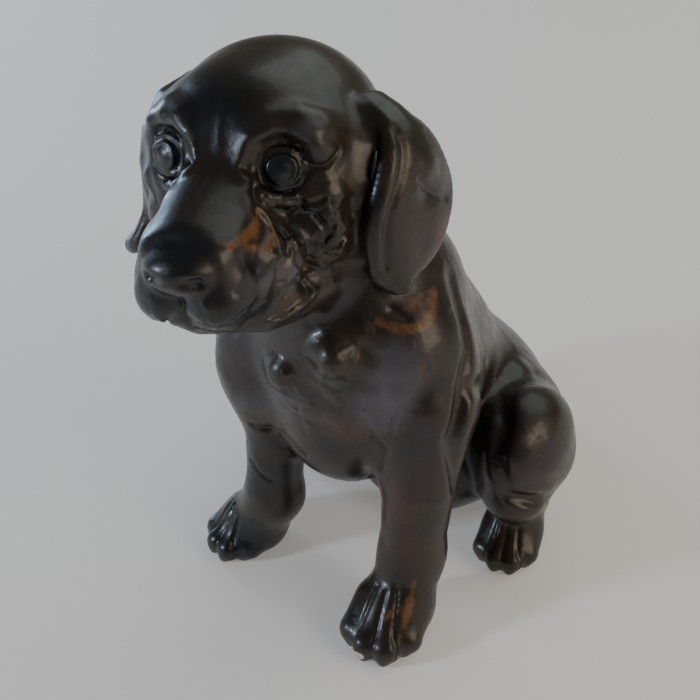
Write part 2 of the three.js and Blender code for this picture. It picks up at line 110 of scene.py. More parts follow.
torso = [
    ball((-3, -36, 166), (74, 57, 78), 1, (22, 0, 0)),
    ball((0, -4, 148), (62, 60, 78), 30, (26, 0, 0)),
    limb([(0, 0, 206), (0, 42, 139), (0, 84, 58)], (42, 46, 52), 30),
    ball((8, 24, 54), (60, 46, 48), 24),
    ball((0, 78, 56), (76, 54, 60), 30),
    limb([(0, -26, 220), (-30, -38, 290)], (58, 50), 30),
    ball((2, -58, 125), (42, 34, 33), 20),
]
foreLegs = [
    ball((53, -34, 174), (30, 38, 58), 18, (12, 0, 0)),
    ball((-63, -50, 158), (31, 42, 56), 18, (12, 0, 0)),
    limb([(60, -44, 156), (62, -59, 108), (60, -69, 52)], (30, 24, 21), 16),
    limb([(-56, -56, 152), (-50, -69, 108), (-53, -76, 52)], (30, 21, 19), 16),
    limb([(61, -69, 52), (61, -84, 24)], (21, 22), 10),
    limb([(-53, -76, 52), (-70, -78, 22)], (20, 22), 10),
]
hindLegs = [
    ball((60, 56, 70), (38, 46, 42), 20, both=True),
    ball((46, 66, 33), (36, 36, 34), 14, both=True),
    ball((86, 34, 83), (30, 43, 41), 14, both=True),
    ball((90, 46, 62), (22, 29, 26), 12, both=True),
    limb([(90, 14, 54), (82, 48, 22)], (22, 13), 12, both=True),
    limb([(80, 56, 13), (86, 22, 20)], (12, 17), 10, both=True),
]
tail = [limb([(0, 116, 42), (-6, 134, 26), (-20, 148, 17), (-40, 155, 13), (-62, 152, 11), (-80, 142, 9),
              (-92, 130, 8)], (27, 21, 16, 13, 11, 9, 7), 14)]
coat = [
    ball((-12, -90, 189), (14, 12, 13), 8),
    ball((24, -86, 212), (14, 12, 15), 8),
    ball((18, -103, 182), (9, 8, 7), 10, cut=True),
    limb([(60, -8, 236), (80, -24, 200), (85, -40, 182), (88, -58, 152), (85, -52, 112)],
         (2, 3.5, 4, 4, 2), 9, cut=True),
    limb([(-70, -16, 226), (-90, -34, 190), (-95, -54, 150), (-80, -54, 112)], (2, 3.5, 4, 2), 9, cut=True),
    limb([(90, -34, 180), (80, 8, 152), (62, 36, 130)], (2.5, 2.5, 1), 9, cut=True),
    limb([(62, 40, 126), (84, 8, 116), (86, -6, 101), (96, -11, 82)], (2, 4, 4, 2), 10, cut=True, both=True),
    limb([(95, -9, 72), (115, 14, 57), (118, 40, 44)], (2, 4, 2), 8, cut=True, both=True),
    limb([(-52, -99, 130), (-34, -99, 130), (-12, -98, 134)], (2, 3, 1), 8, cut=True),
    limb([(-38, -90, 126), (-28, -82, 108), (-24, -66, 100)], (2, 3, 2), 8, cut=True),
    limb([(40, -97, 152), (36, -88, 128), (32, -70, 104)], (1, 3, 2), 10, cut=True),
]
skull = [
    ball((1, 5, 12), (64.5, 69, 58)),
    ball((-2, -36, 22), (47, 35, 36), 18),
    ball((42, -24, 6), (25, 30, 34), 16, both=True),
    ball((41, -20, -24), (27, 36, 34), 18, both=True),
    limb([(-3, -56, 2), (0, -110, -18)], (17, 15), 12),
    limb([(12, -58, 0), (14, -112, -24)], (16, 14), 12, both=True),
    limb([(20, -66, -36), (14.5, -109, -46)], (22, 19), 12, both=True),
    limb([(0, -36, -54), (0, -100, -60)], (26, 13.5), 8),
    ball((0, -125, -29), (19, 12, 13), 5),
    limb([(10, -88, -62), (24, -74, -65), (32, -54, -65), (38, -34, -61), (42, -14, -54)],
         (13, 13.5, 14, 15, 16), 10, both=True),
    limb([(61, -12, 32), (64, -22, 17), (63, -26, 0), (60, -20, -38)], (8, 9, 10, 10), 8, both=True),
]
brows = [
    limb([(16, -68, 20), (19, -66, 29), (26, -61, 36), (38, -52, 36)], (4, 5, 6, 8), 9, both=True),
    ball((47, -43, 28), (10, 10, 11), 8, both=True),
    limb([(38, -55, 34), (47, -50, 29), (53, -45, 19)], (6, 8, 6), 5, both=True),
    limb([(17, -73, 14), (22, -72, 23), (32, -66, 27), (42, -58, 24)], (2, 3, 3, 2), 6, cut=True, both=True),
    limb([(21, -73, 3), (27, -81, -5), (38, -81, -18), (42, -80, -33), (40, -84, -46)],
         (1.5, 2.5, 3, 2.5, 1.5), 7, cut=True, both=True),
    ball((22, -68, -2), (6, 5, 5), 5, both=True),
    ball((33, -61, -4), (7, 5, 5), 5, both=True),
    ball((50, -46, -2), (8, 7, 8), 6, both=True),
]
mouth = [
    limb([(0, -136, -40), (0, -128, -55)], (2.2, 2.6), 4, cut=True),
    limb([(0, -127, -55), (14, -118, -63), (30, -97, -67), (40, -74, -64), (46, -54, -52)],
         (2.4, 2.4, 2.4, 2.2, 1.6), 4, cut=True, both=True),
    limb([(7, -138, -32), (15, -131, -32)], (2.6, 3), 3, cut=True, both=True),
]
# Bumps and hollows left by the modeller's thumb and tool: place, reach and height. Those on the face are
# in the head's frame and on both its sides.
thumbedFace = [
    ((30, -68, -2), 7, 1.8), ((45, -58, -2), 7, 2.0), ((16, -77, 12), 6, 1.6), ((45, -58, 17), 6, 1.2),
    ((42, -71, -32), (10, 14, 17), 2.6), ((26, -85, -2), 8, 1.6), ((33, -79, -16), 8, 1.6),
    ((37, -83, -27), 8, 1.4), ((38, -74, -8), 6, -1.6), ((47, -64, -14), 7, -2.2),
    ((28, -107, -17), 10, 1.5), ((32, -111, -33), 9, 1.8),
    ((35, -99, -27), 8, -1.6), ((33, -95, -56), 10, 2.0), ((22, -108, -58), 8, 1.4), ((53, -54, 8), 9, 1.4),
    ((60, -51, -4), 9, 1.6), ((58, -50, -26), 11, 2.2), ((65, -42, -14), 8, -1.8), ((62, -32, -50), 13, -2.6),
    ((50, -52, -46), 10, 2.2), ((40, -66, -58), 9, 2.0), ((46, -40, -62), 10, 1.6), ((50, -50, 34), 11, 1.8),
    ((54, -28, 2), 12, 1.0), ((3, -70, 38), (5, 16, 22), -0.7), ((15, -76, 16), 5, 1.0),
]
thumbedEar = [
    ((101, -12, -10), 10, -2.4), ((100, -10, 6), 10, 1.4), ((89, -27, -39), 14, 1.2), ((96, 0, -30), 10, 0.9),
]
# Bumps on the dog's left cheek and brow only, and hollows that keep its right side slim.
thumbedSides = [
    ((47, -60, 29), (10, 9, 9), 3.0), ((52, -55, 21), (9, 9, 7), 3.4), ((43, -62, 22), (7, 7, 5), 2.4),
    ((48, -60, 10), (7, 7, 4), -1.4), ((48, -62, -8), (8, 8, 6), 2.2), ((58, -52, -12), (8, 8, 8), 2.0),
    ((36, -82, -24), (8, 10, 9), 2.0), ((44, -68, -46), (11, 12, 12), 2.2),
    ((56, -44, -36), (10, 10, 10), 1.8), ((-50, -50, 33), (14, 16, 16), -3.2),
    ((-58, -46, 6), (14, 16, 14), -2.2), ((-58, -50, -20), (16, 18, 16), -3.0),
]
thumbedBody = [
    ((-10, -101, 196), (11, 7, 13), 2.8), ((29, -97, 215), (11, 8, 12), 2.6),
    ((40, -78, 230), (8, 8, 8), 1.8),
    ((61, -76, 187), (10, 8, 10), 1.6), ((44, -84, 208), (9, 8, 10), 1.4),
    ((66, 66, 118), 12, 2.4), ((58, 74, 112), 10, 1.6), ((92, 20, 100), (8, 12, 20), 1.4),
    ((104, 30, 84), 16, 1.2),
    ((72, 12, 148), 14, 1.6), ((60, 30, 138), 10, 1.2), ((78, -66, 176), 14, 1.5), ((58, -80, 180), 14, -1.2),
    ((44, -90, 172), 12, 1.6), ((30, -94, 158), 14, 1.2), ((-40, -94, 150), 16, 1.4),
    ((-62, -86, 176), 14, -1.4),
    ((60, -92, 80), 14, 0.9), ((70, -80, 50), 10, -0.9), ((-60, -90, 70), 12, 1.0), ((-52, -92, 52), 9, -1.0),
]

eye = dict(
    places=[((29.5, -54, 11.5), (0.36, -0.92, 0.06)), ((-33.5, -54, 13.5), (-0.36, -0.92, 0.06))],
    ballRadius=12.8, socketRadius=13.5, socketAhead=13, lidRadius=13.4, lidThickness=1.7,
    across=64, up=54, down=50, outerOut=2.2, outerAcross=17, outerUp=20, outerDown=18, outerThickness=1.2,
    irisOpening=36, irisWidth=1.2, irisHeight=1.1,
)


def eyeFrame(look):
    ahead = Vector(look).normalized()
    side = Vector((0, 0, 1)).cross(ahead).normalized()
    return ahead, side, ahead.cross(side)


def ringRound(at, look, radius, across, up, down, count=32):
    ahead, side, above = eyeFrame(look)
    ring = []
    for i in range(count + 1):
        turn = 2 * math.pi * i / count
        c, s = math.cos(turn), math.sin(turn)
        opening = math.radians(math.hypot(across * c, (up if s > 0 else down) * s))
        point = Vector(at) + radius * (ahead * math.cos(opening) + math.sin(opening) * (side * c + above * s))
        ring.append(tuple(point))
    return ring


def eyeLumps(at, look):
    e = eye
    ahead = eyeFrame(look)[0]
    hollow = tuple(Vector(at) + ahead * e["socketAhead"])
    lid = ringRound(at, look, e["lidRadius"], e["across"], e["up"], e["down"])
    outer = ringRound(at, look, e["lidRadius"] + e["outerOut"], e["across"] + e["outerAcross"],
                      e["up"] + e["outerUp"], e["down"] + e["outerDown"])
    return [
        ball(hollow, e["socketRadius"], 6, cut=True),
        ball(at, e["ballRadius"], 1),
        limb(outer, e["outerThickness"], 3),
        limb(lid, e["lidThickness"], 1.4),
    ]


ear = dict(
    left=dict(
        front=[(60, -14, 35), (75, -24, 26), (79, -33, 14), (76, -40, -3), (71, -40, -28), (70, -34, -49),
               (78, -22, -63)],
        rear=[(63, 14, 33), (79, 9, 27), (92, 15, 16), (103, 18, -13), (101, 14, -39), (94, 4, -54),
              (86, -8, -66)],
        bow=6),
    right=dict(
        front=[(-50, -8, 40), (-62, -14, 29), (-66, -26, 0), (-68, -28, -30), (-75, -30, -50),
               (-84, -24, -58)],
        rear=[(-54, 18, 38), (-74, 22, 26), (-80, 26, -10), (-83, 18, -38), (-88, 0, -56), (-90, -10, -61)],
        bow=-4),
    thickness=4.5, roll=3, steps=40, blend=6, farthest=40.0, workedWithin=95,
)


def smoothCurve(points, steps):
    # A centripetal Catmull-Rom curve through the points.
    p = np.array(points, float)
    p = np.vstack([2 * p[0] - p[1], p, 2 * p[-1] - p[-2]])
    out = []
    for s in range(steps + 1):
        t = s / steps * (len(points) - 1)
        i = min(int(t), len(points) - 2)
        w = t - i
        a, b, c, d = p[i:i + 4]
        da, db, dc = [max(np.sum((v - u) ** 2), 1e-8) ** 0.25 for u, v in ((a, b), (b, c), (c, d))]
        m1 = ((b - a) / da - (c - a) / (da + db) + (c - b) / db) * db
        m2 = ((c - b) / db - (d - b) / (db + dc) + (d - c) / dc) * db
        out.append(b + m1 * w + (-3 * b + 3 * c - 2 * m1 - m2) * w * w + (2 * b - 2 * c + m1 + m2) * w ** 3)
    return np.array(out)


def flapDistance(flap, p):
    f = smoothCurve(flap["front"], ear["steps"])
    r = smoothCurve(flap["rear"], ear["steps"])
    middle, across = (f + r) / 2, (r - f) / 2
    half = np.linalg.norm(across, axis=1)
    best = np.full(len(p), ear["farthest"], np.float32)
    around = np.linalg.norm(p - middle.mean(0), axis=1) < ear["workedWithin"]
    q = p[around].astype(np.float64)
    low = np.full(len(q), ear["farthest"])
    for i in range(len(middle) - 1):
        d = middle[i + 1] - middle[i]
        length = np.linalg.norm(d)
        along = d / length
        x = q - middle[i]
        t = np.clip(x @ along / length, 0, 1)
        rest = x - t[:, None] * d
        past = rest @ along
        a = across[i] + t[:, None] * (across[i + 1] - across[i])
        a = a - (a @ along)[:, None] * along
        a /= np.linalg.norm(a, axis=1)[:, None]
        h = half[i] + t * (half[i + 1] - half[i])
        u = np.einsum("ij,ij->i", rest, a)
        out = np.einsum("ij,ij->i", rest, np.cross(along, a))
        share = np.minimum(1, np.abs(u) / h)
        thick = ear["thickness"] + ear["roll"] * np.maximum(0, -u / h) ** 4
        rim = np.maximum(np.abs(u) - h + thick, 0)
        lift = out - flap["bow"] * (1 - share ** 2)
        low = np.minimum(low, np.sqrt(rim ** 2 + lift ** 2 + past ** 2) - thick)
    best[around] = low
    return best


paw = dict(
    places=[((59.5, -95.5), 14, 1.12), ((-77, -83), -12, 1), ((88, 13), 16, 0.92), ((-95, 30), -16, 0.92)],
    toes=[(-17, 15), (-6, 23), (6, 23), (15, 12)], toeRadius=9.4, toeLength=18,
    clawRadius=2.0, grooveWidth=1.6, grooveHeight=-1.2,
)


def pawLumps(at, heading, size):
    c, s = math.cos(math.radians(heading)), math.sin(math.radians(heading))

    def place(x, y, z):
        return (at[0] + size * (x * c - y * s), at[1] + size * (x * s + y * c), size * z)

    lumps = [ball(place(0, 2, 14), (23 * size, 23 * size, 20 * size), 12, (0, 0, heading))]
    for across, reach in paw["toes"]:
        lumps.append(limb([place(across * 0.75, paw["toeLength"] - reach, 20), place(across, -reach, 10)],
                          paw["toeRadius"] * size, 5))
    for across, reach in paw["toes"]:  # claws, blunt, worn and pointing down
        lumps.append(limb([place(across, -reach - 5.2, 7), place(across, -reach - 6.2, 4)],
                          paw["clawRadius"] * size, 5))
    return lumps


def pawCreases(at, heading, size):
    # The grooves between the toes, from the instep down to the ground.
    c, s = math.cos(math.radians(heading)), math.sin(math.radians(heading))
    lines = []
    for (x0, r0), (x1, r1) in zip(paw["toes"], paw["toes"][1:]):
        x, r = (x0 + x1) / 2, (r0 + r1) / 2
        drawn = [(x * 0.62, 17 - r, 38), (x * 0.8, 8 - r, 34), (x, -2 - r, 24), (x * 1.05, -9 - r, 8)]
        drawn = [(at[0] + size * (u * c - v * s), at[1] + size * (u * s + v * c), size * w)
                 for u, v, w in drawn]
        lines.append((drawn, paw["grooveWidth"], paw["grooveHeight"]))
    return lines


headPlace = dict(at=(-40, -50, 311), yaw=16.9, pitch=-14, roll=-1.5, neckBlend=16)
headTurn = np.array(
    Matrix.Rotation(math.radians(headPlace["yaw"]), 3, "Z")
    @ Matrix.Rotation(math.radians(headPlace["pitch"]), 3, "X")
    @ Matrix.Rotation(math.radians(headPlace["roll"]), 3, "Y")
)
bodyLumps = torso + foreLegs + hindLegs + tail + coat
bodyLumps += [lump for place in paw["places"] for lump in pawLumps(*place)]
faceLumps = brows + [lump for place in eye["places"] for lump in eyeLumps(*place)] + mouth


def clay(p):
    p = p.astype(np.float32)
    far = np.full(len(p), farAway, np.float32)
    inHead = ((p - np.array(headPlace["at"], np.float32)) @ headTurn.astype(np.float32)).astype(np.float32)
    d = softMin(press(far.copy(), bodyLumps, p), press(far.copy(), skull, inHead), headPlace["neckBlend"])
    d = press(d, faceLumps, inHead)
    for side in ("left", "right"):
        d = softMin(d, flapDistance(ear[side], inHead), ear["blend"])
    return np.maximum(d, -p[:, 2])


def inPieces(field, p, size=400000):
    return np.concatenate([field(p[i:i + size]) for i in range(0, len(p), size)])


def toHead(p):
    return (p - np.array(headPlace["at"])) @ headTurn


# The skin is drawn over the clay on a fine grid of cubes, worked out only near the surface.
skin = dict(
    step=1.25, block=4, margin=1.6, low=(-150, -200, -8), high=(130, 190, 396), triangles=190000,
    slopeTip=0.25, bumpSlopeTip=0.8, longestSlide=0.6,
)


def surfaceNets(field):
    h, block = skin["step"], skin["block"]
    low = np.array(skin["low"], float)
    blocks = np.ceil((np.array(skin["high"]) - low) / (h * block)).astype(int)
    n = blocks * block + 1
    grid = np.stack(np.meshgrid(*[np.arange(b) for b in blocks], indexing="ij"), -1).reshape(-1, 3)
    middle = inPieces(field, low + (grid + 0.5) * h * block)
    values = np.repeat(np.repeat(np.repeat(middle.reshape(blocks), block, 0), block, 1), block, 2)
    values = np.pad(values, ((0, 1),) * 3, mode="edge").astype(np.float32)
    near = grid[np.abs(middle) < h * block * skin["margin"]]
    offsets = np.stack(np.meshgrid(*[np.arange(block + 1)] * 3, indexing="ij"), -1).reshape(-1, 3)
    index = (near[:, None, :] * block + offsets).reshape(-1, 3)
    flat = np.unique(np.ravel_multi_index(index.T, n))
    index = np.stack(np.unravel_index(flat, n), -1)
    values.reshape(-1)[flat] = inPieces(field, low + index * h)
    print("clay sampled at", len(flat), "places")
    inside = values < 0
    corners = np.array([(c & 1, c >> 1 & 1, c >> 2) for c in range(8)])
    count = sum(inside[a:n[0] - 1 + a, b:n[1] - 1 + b, c:n[2] - 1 + c].astype(np.int8) for a, b, c in corners)
    cells = np.argwhere((count > 0) & (count < 8))
    v = np.stack([values[tuple((cells + c).T)] for c in corners], 1)
    total = np.zeros((len(cells), 3))
    crossed = np.zeros(len(cells))
    for a in range(8):
        for bit in (1, 2, 4):
            if a & bit:
                continue
            b = a | bit
            cut = (v[:, a] < 0) != (v[:, b] < 0)
            t = np.where(cut, v[:, a] / np.where(cut, v[:, a] - v[:, b], 1), 0)
            total += cut[:, None] * (corners[a] + t[:, None] * (corners[b] - corners[a]))
            crossed += cut
    points = low + h * (cells + total / crossed[:, None])
    cellAt = np.full(n, -1, np.int32)
    cellAt[tuple(cells.T)] = np.arange(len(cells))
    quads = []
    for axis in range(3):
        step = np.eye(3, dtype=int)[axis]
        p, q = np.eye(3, dtype=int)[(axis + 1) % 3], np.eye(3, dtype=int)[(axis + 2) % 3]
        here = inside[1:-1, 1:-1, 1:-1]
        there = inside[1 + step[0]:n[0] - 1 + step[0], 1 + step[1]:n[1] - 1 + step[1],
                       1 + step[2]:n[2] - 1 + step[2]]
        edges = np.argwhere(here != there) + 1
        ring = [cellAt[tuple((edges - a * p - b * q).T)] for a, b in ((0, 0), (1, 0), (1, 1), (0, 1))]
        ring = np.stack(ring, 1)
        flip = inside[tuple((edges + step).T)]
        ring[flip] = ring[flip][:, ::-1]
        quads.append(ring)
    return points, np.concatenate(quads)


def slope(field, p, e=skin["slopeTip"]):
    tips = np.array([(1, -1, -1), (-1, -1, 1), (-1, 1, -1), (1, 1, 1)], float)
    g = sum(k * inPieces(field, p + e * k)[:, None] for k in tips)
    return g / np.maximum(np.linalg.norm(g, axis=1), tiny)[:, None]


def settle(field, p, times=1):
    # Each point is slid along the slope onto the clay's surface, so that the gloss runs smoothly.
    for _ in range(times):
        d = inPieces(field, p)
        p = p - np.clip(d, -skin["longestSlide"], skin["longestSlide"])[:, None] * slope(field, p)
    return p


points, quads = surfaceNets(clay)
print("skin has", len(points), "points")
points = settle(clay, points, 1)


drawing = dict(bumpSpread=1.7, stepsPerPoint=4, slides=8, fade=3)


def softBumps(p, bumps):
    # Round bumps that reach their height in the middle and fade to nothing.
    total = np.zeros(len(p))
    for at, reach, height in bumps:
        d = np.sum(((p - np.array(at)) / np.array(reach)) ** 2, axis=1)
        total += height * np.maximum(0, 1 - d / drawing["bumpSpread"]) ** 2
    return total


outwards = slope(clay, points, skin["bumpSlopeTip"])
inHead = toHead(points)
raised = softBumps(np.column_stack([np.abs(inHead[:, 0]), inHead[:, 1:]]), thumbedFace)
raised += softBumps(inHead, thumbedEar + thumbedSides) + softBumps(points, thumbedBody)


def softLines(p, lines):
    # Every line is sampled closely, slid onto the surface, and raises or sinks what lies within its width.
    curves = [smoothCurve(line[0], drawing["stepsPerPoint"] * len(line[0])) for line in lines]
    laid = settle(clay, np.concatenate(curves), drawing["slides"])
    total = np.zeros(len(p))
    first = 0
    for curve, (_, width, height) in zip(curves, lines):
        line = laid[first:first + len(curve)]
        first += len(curve)
        edge = drawing["fade"] * width
        near = np.all((p > line.min(0) - edge) & (p < line.max(0) + edge), axis=1)
        close = limbDistance(dict(points=line, radii=(0,) * len(line)), p[near].astype(np.float32))
        total[near] += height * np.exp(-np.minimum(close / width, drawing["fade"]) ** 2)
    return total


def fromHead(line):
    drawn, width, height = line
    return [tuple(np.array(q) @ headTurn.T + np.array(headPlace["at"])) for q in drawn], width, height


# Creases (height below zero) and ridges drawn with a tool: the line, its width and its height.
headLines = [
    ([(86, -26, 34), (91, -26, 22), (91, -31, 6), (87, -37, -13), (83, -36, -30), (81, -32, -48)], 3.0, -1.8),
    ([(101, -20, 0), (104, -8, -10), (106, 4, -16)], 2.6, -1.6),
    ([(24, -80, -4), (29.6, -76, -11), (32.7, -76, -17), (35, -79, -23), (37, -84, -30)], 2.2, 1.8),
    ([(28, -74, 0), (36, -72, -8), (40, -72, -18), (42, -76, -30)], 1.8, -1.6),
    ([(12, -122, -58), (24, -106, -66), (36, -88, -69), (46, -68, -66), (52, -54, -58)], 1.8, 1.6),
    ([(-12, -122, -58), (-24, -106, -66), (-36, -88, -69)], 1.8, 1.6),
    ([(40, -70, -36), (47, -66, -44), (50, -60, -56)], 1.6, -1.8),
    ([(50, -60, -14), (55, -56, -22), (56, -56, -34)], 1.8, -1.8),
    ([(34, -66, -4), (44, -60, -7), (53, -54, -5)], 1.6, -1.6),
    ([(42, -62, 22), (48, -58, 14), (54, -53, 13), (60, -47, 20)], 1.6, -1.8),
]
headLines += [(ringRound(at, look, eye["ballRadius"], *(eye["irisOpening"],) * 3, count=12),
               eye["irisWidth"], eye["irisHeight"]) for at, look in eye["places"]]
bodyLines = [line for place in paw["places"] for line in pawCreases(*place)]
bodyLines += [
    ([(49, -60, 240), (56, -50, 222), (62, -52, 200), (60, -70, 180), (58, -84, 160)], 2.2, -1.2),
    ([(-52, -91, 126), (-38, -88, 125), (-17, -91, 129), (-3, -94, 125)], 2.0, -1.8),
    ([(-56, -88, 92), (-48, -92, 84), (-40, -90, 80)], 1.6, -1.2),
    ([(47, -81, 152), (52, -80, 144), (48, -81, 127)], 2.4, -1.2),
    ([(60, 42, 124), (76, 12, 130), (86, -16, 160)], 2.4, -1.4),
]
raised += softLines(points, [fromHead(line) for line in headLines] + bodyLines)
points += outwards * raised[:, None]
points[:, 2] = np.maximum(points[:, 2], 0)
print("bumps and creases pressed")

# The clay is scaled and moved so that it stands on the CAD node's own place.
low, high = (np.array(c) * 1000 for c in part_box("dog"))
scale = (high[2] - low[2]) / points[:, 2].max()
middle = (points.min(0) + points.max(0)) / 2
shift = np.array([(low[0] + high[0]) / 2 / scale - middle[0], (low[1] + high[1]) / 2 / scale - middle[1],
                  0])
print("shift", shift, "scale", scale)


def toFrame(p):
    return (np.asarray(p) + shift) * scale / 1000


mesh = bpy.data.meshes.new("dogSculpture")
mesh.vertices.add(len(points))
mesh.vertices.foreach_set("co", toFrame(points).astype(np.float32).ravel())
mesh.loops.add(quads.size)
mesh.loops.foreach_set("vertex_index", quads.ravel().astype(np.int32))
mesh.polygons.add(len(quads))
mesh.polygons.foreach_set("loop_start", np.arange(0, quads.size, 4, dtype=np.int32))
mesh.update(calc_edges=True)
mesh.validate()
dog = bpy.data.objects.new("dogSculpture", mesh)
bpy.context.scene.collection.objects.link(dog)


def fromHex(code):
    parts = [int(code[i:i + 2], 16) / 255 for i in (1, 3, 5)]
    return tuple(c / 12.92 if c <= 0.04045 else ((c + 0.055) / 1.055) ** 2.4 for c in parts) + (1.0,)


def addNode(tree, kind, links=None, **settings):
    node = tree.nodes.new(kind)
    for name, value in settings.items():
        if name.startswith("in_"):
            key = name[3:]
            node.inputs[int(key) if key.isdigit() else key.replace("_", " ")].default_value = value
        else:
            setattr(node, name, value)
    for target, source in (links or {}).items():
        tree.links.new(source, node.inputs[target])
    return node


# Colours of the patina, and its patterns as noise scales per metre: 16 is clouds 60 mm wide, 340 is a 3 mm
# grain.
patina = dict(
    # Two of these colours are painted light: the blue-black one is painted shade, the pale slate grey is
    # painted sheen.
    dark="#130d08", brown="#382416", olive="#2b291b", violet="#201e26", paintedShade="#0c1119", umber="#47271a",
    paintedSheen="#4b484f", ochre="#6e4b29", cast="#cfcac0", tintShare=0.45,
    broad=16, clouds=42, gloss=90, speck=260, grain=340,
    smoothest=0.24, roughest=0.46, grainStrength=0.35, grainDepth=0.0006, wax=0.15, waxRoughness=0.12,
)


def castMaterial():
    # A cold cast with a bronze patina, waxed: the eye sees a nearly black brown with cloudy olive and
    # violet tints, a painted blue-black shade over the face's hollows and the shaded legs, a painted
    # slate-grey sheen where the gloss catches the light, rubbed to warm ochre where it is handled, white
    # where it is chipped, and over all of it an uneven soft gloss.
    m = bpy.data.materials.new("waxedBronzePatina")
    m.use_nodes = True
    t = m.node_tree
    t.nodes.clear()
    out = addNode(t, "ShaderNodeOutputMaterial")
    coords = addNode(t, "ShaderNodeTexCoord")
    obj = coords.outputs["Object"]

    def noise(pattern, detail, roughness):
        return addNode(t, "ShaderNodeTexNoise", {"Vector": obj}, in_Scale=patina[pattern], in_Detail=detail,
                       in_Roughness=roughness)

    def ramp(pattern, low, lowColour, high, highColour):
        node = addNode(t, "ShaderNodeValToRGB", {"Fac": pattern.outputs["Fac"]})
        for stop, at, colour in zip(node.color_ramp.elements, (low, high), (lowColour, highColour)):
            stop.position = at
            stop.color = fromHex(patina[colour])
        return node

    def times(a, b):
        return addNode(t, "ShaderNodeMath", {0: a.outputs["Fac"], 1: b.outputs["Fac"]}, operation="MULTIPLY")

    def spotsOf(name):
        return addNode(t, "ShaderNodeAttribute", attribute_name=name)

    broad = noise("broad", 3, 0.55)
    clouds = noise("clouds", 5, 0.6)
    tone = ramp(clouds, 0.36, "dark", 0.68, "brown")
    tint = ramp(broad, 0.4, "violet", 0.6, "olive")
    mixed = addNode(t, "ShaderNodeMix", {6: tone.outputs["Color"], 7: tint.outputs["Color"]},
                    data_type="RGBA", in_0=patina["tintShare"])
    # Over the tone go the painted blue-black shade, the red-brown stains and the painted slate-grey sheen,
    # where their spots say.
    for shade in ("paintedShade", "umber", "paintedSheen"):
        uneven = times(spotsOf(shade), clouds)
        share = addNode(t, "ShaderNodeMapRange", {"Value": uneven.outputs[0]}, in_1=0.08, in_2=0.5)
        mixed = addNode(t, "ShaderNodeMix", {0: share.outputs[0], 6: mixed.outputs[2]}, data_type="RGBA",
                        in_7=fromHex(patina[shade]))
    speck = noise("speck", 4, 0.7)
    rubbed = times(spotsOf("rub"), speck)
    rubMask = addNode(t, "ShaderNodeMapRange", {"Value": rubbed.outputs[0]}, in_1=0.22, in_2=0.62)
    warm = addNode(t, "ShaderNodeMix", {0: rubMask.outputs[0], 6: mixed.outputs[2]}, data_type="RGBA",
                   in_7=fromHex(patina["ochre"]))
    chipped = times(spotsOf("chip"), speck)
    chipMask = addNode(t, "ShaderNodeMapRange", {"Value": chipped.outputs[0]}, in_1=0.2, in_2=0.26)
    colour = addNode(t, "ShaderNodeMix", {0: chipMask.outputs[0], 6: warm.outputs[2]}, data_type="RGBA",
                     in_7=fromHex(patina["cast"]))
    gloss = noise("gloss", 6, 0.65)
    rough = addNode(t, "ShaderNodeMapRange", {"Value": gloss.outputs["Fac"]},
                    in_1=0.3, in_2=0.75, in_3=patina["smoothest"], in_4=patina["roughest"])
    grain = noise("grain", 6, 0.7)
    bump = addNode(t, "ShaderNodeBump", {"Height": grain.outputs["Fac"]}, in_Strength=patina["grainStrength"],
                   in_Distance=patina["grainDepth"])
    shader = addNode(t, "ShaderNodeBsdfPrincipled", {
        "Base Color": colour.outputs[2], "Roughness": rough.outputs[0],
        "Normal": bump.outputs["Normal"],
    })
    shader.inputs["Coat Weight"].default_value = patina["wax"]
    shader.inputs["Coat Roughness"].default_value = patina["waxRoughness"]
    t.links.new(shader.outputs[0], out.inputs["Surface"])
    return m


waxedBronze = castMaterial()
print("patina mixed")

# Tool marks, by Geometry Nodes. Lengths are metres here, because they work on the finished mesh.
toolMarks = dict(flatSize=0.014, tilt=0.3, seed=4.0, everywhere=0.1, strongest=1.6, fadeAtGround=6)


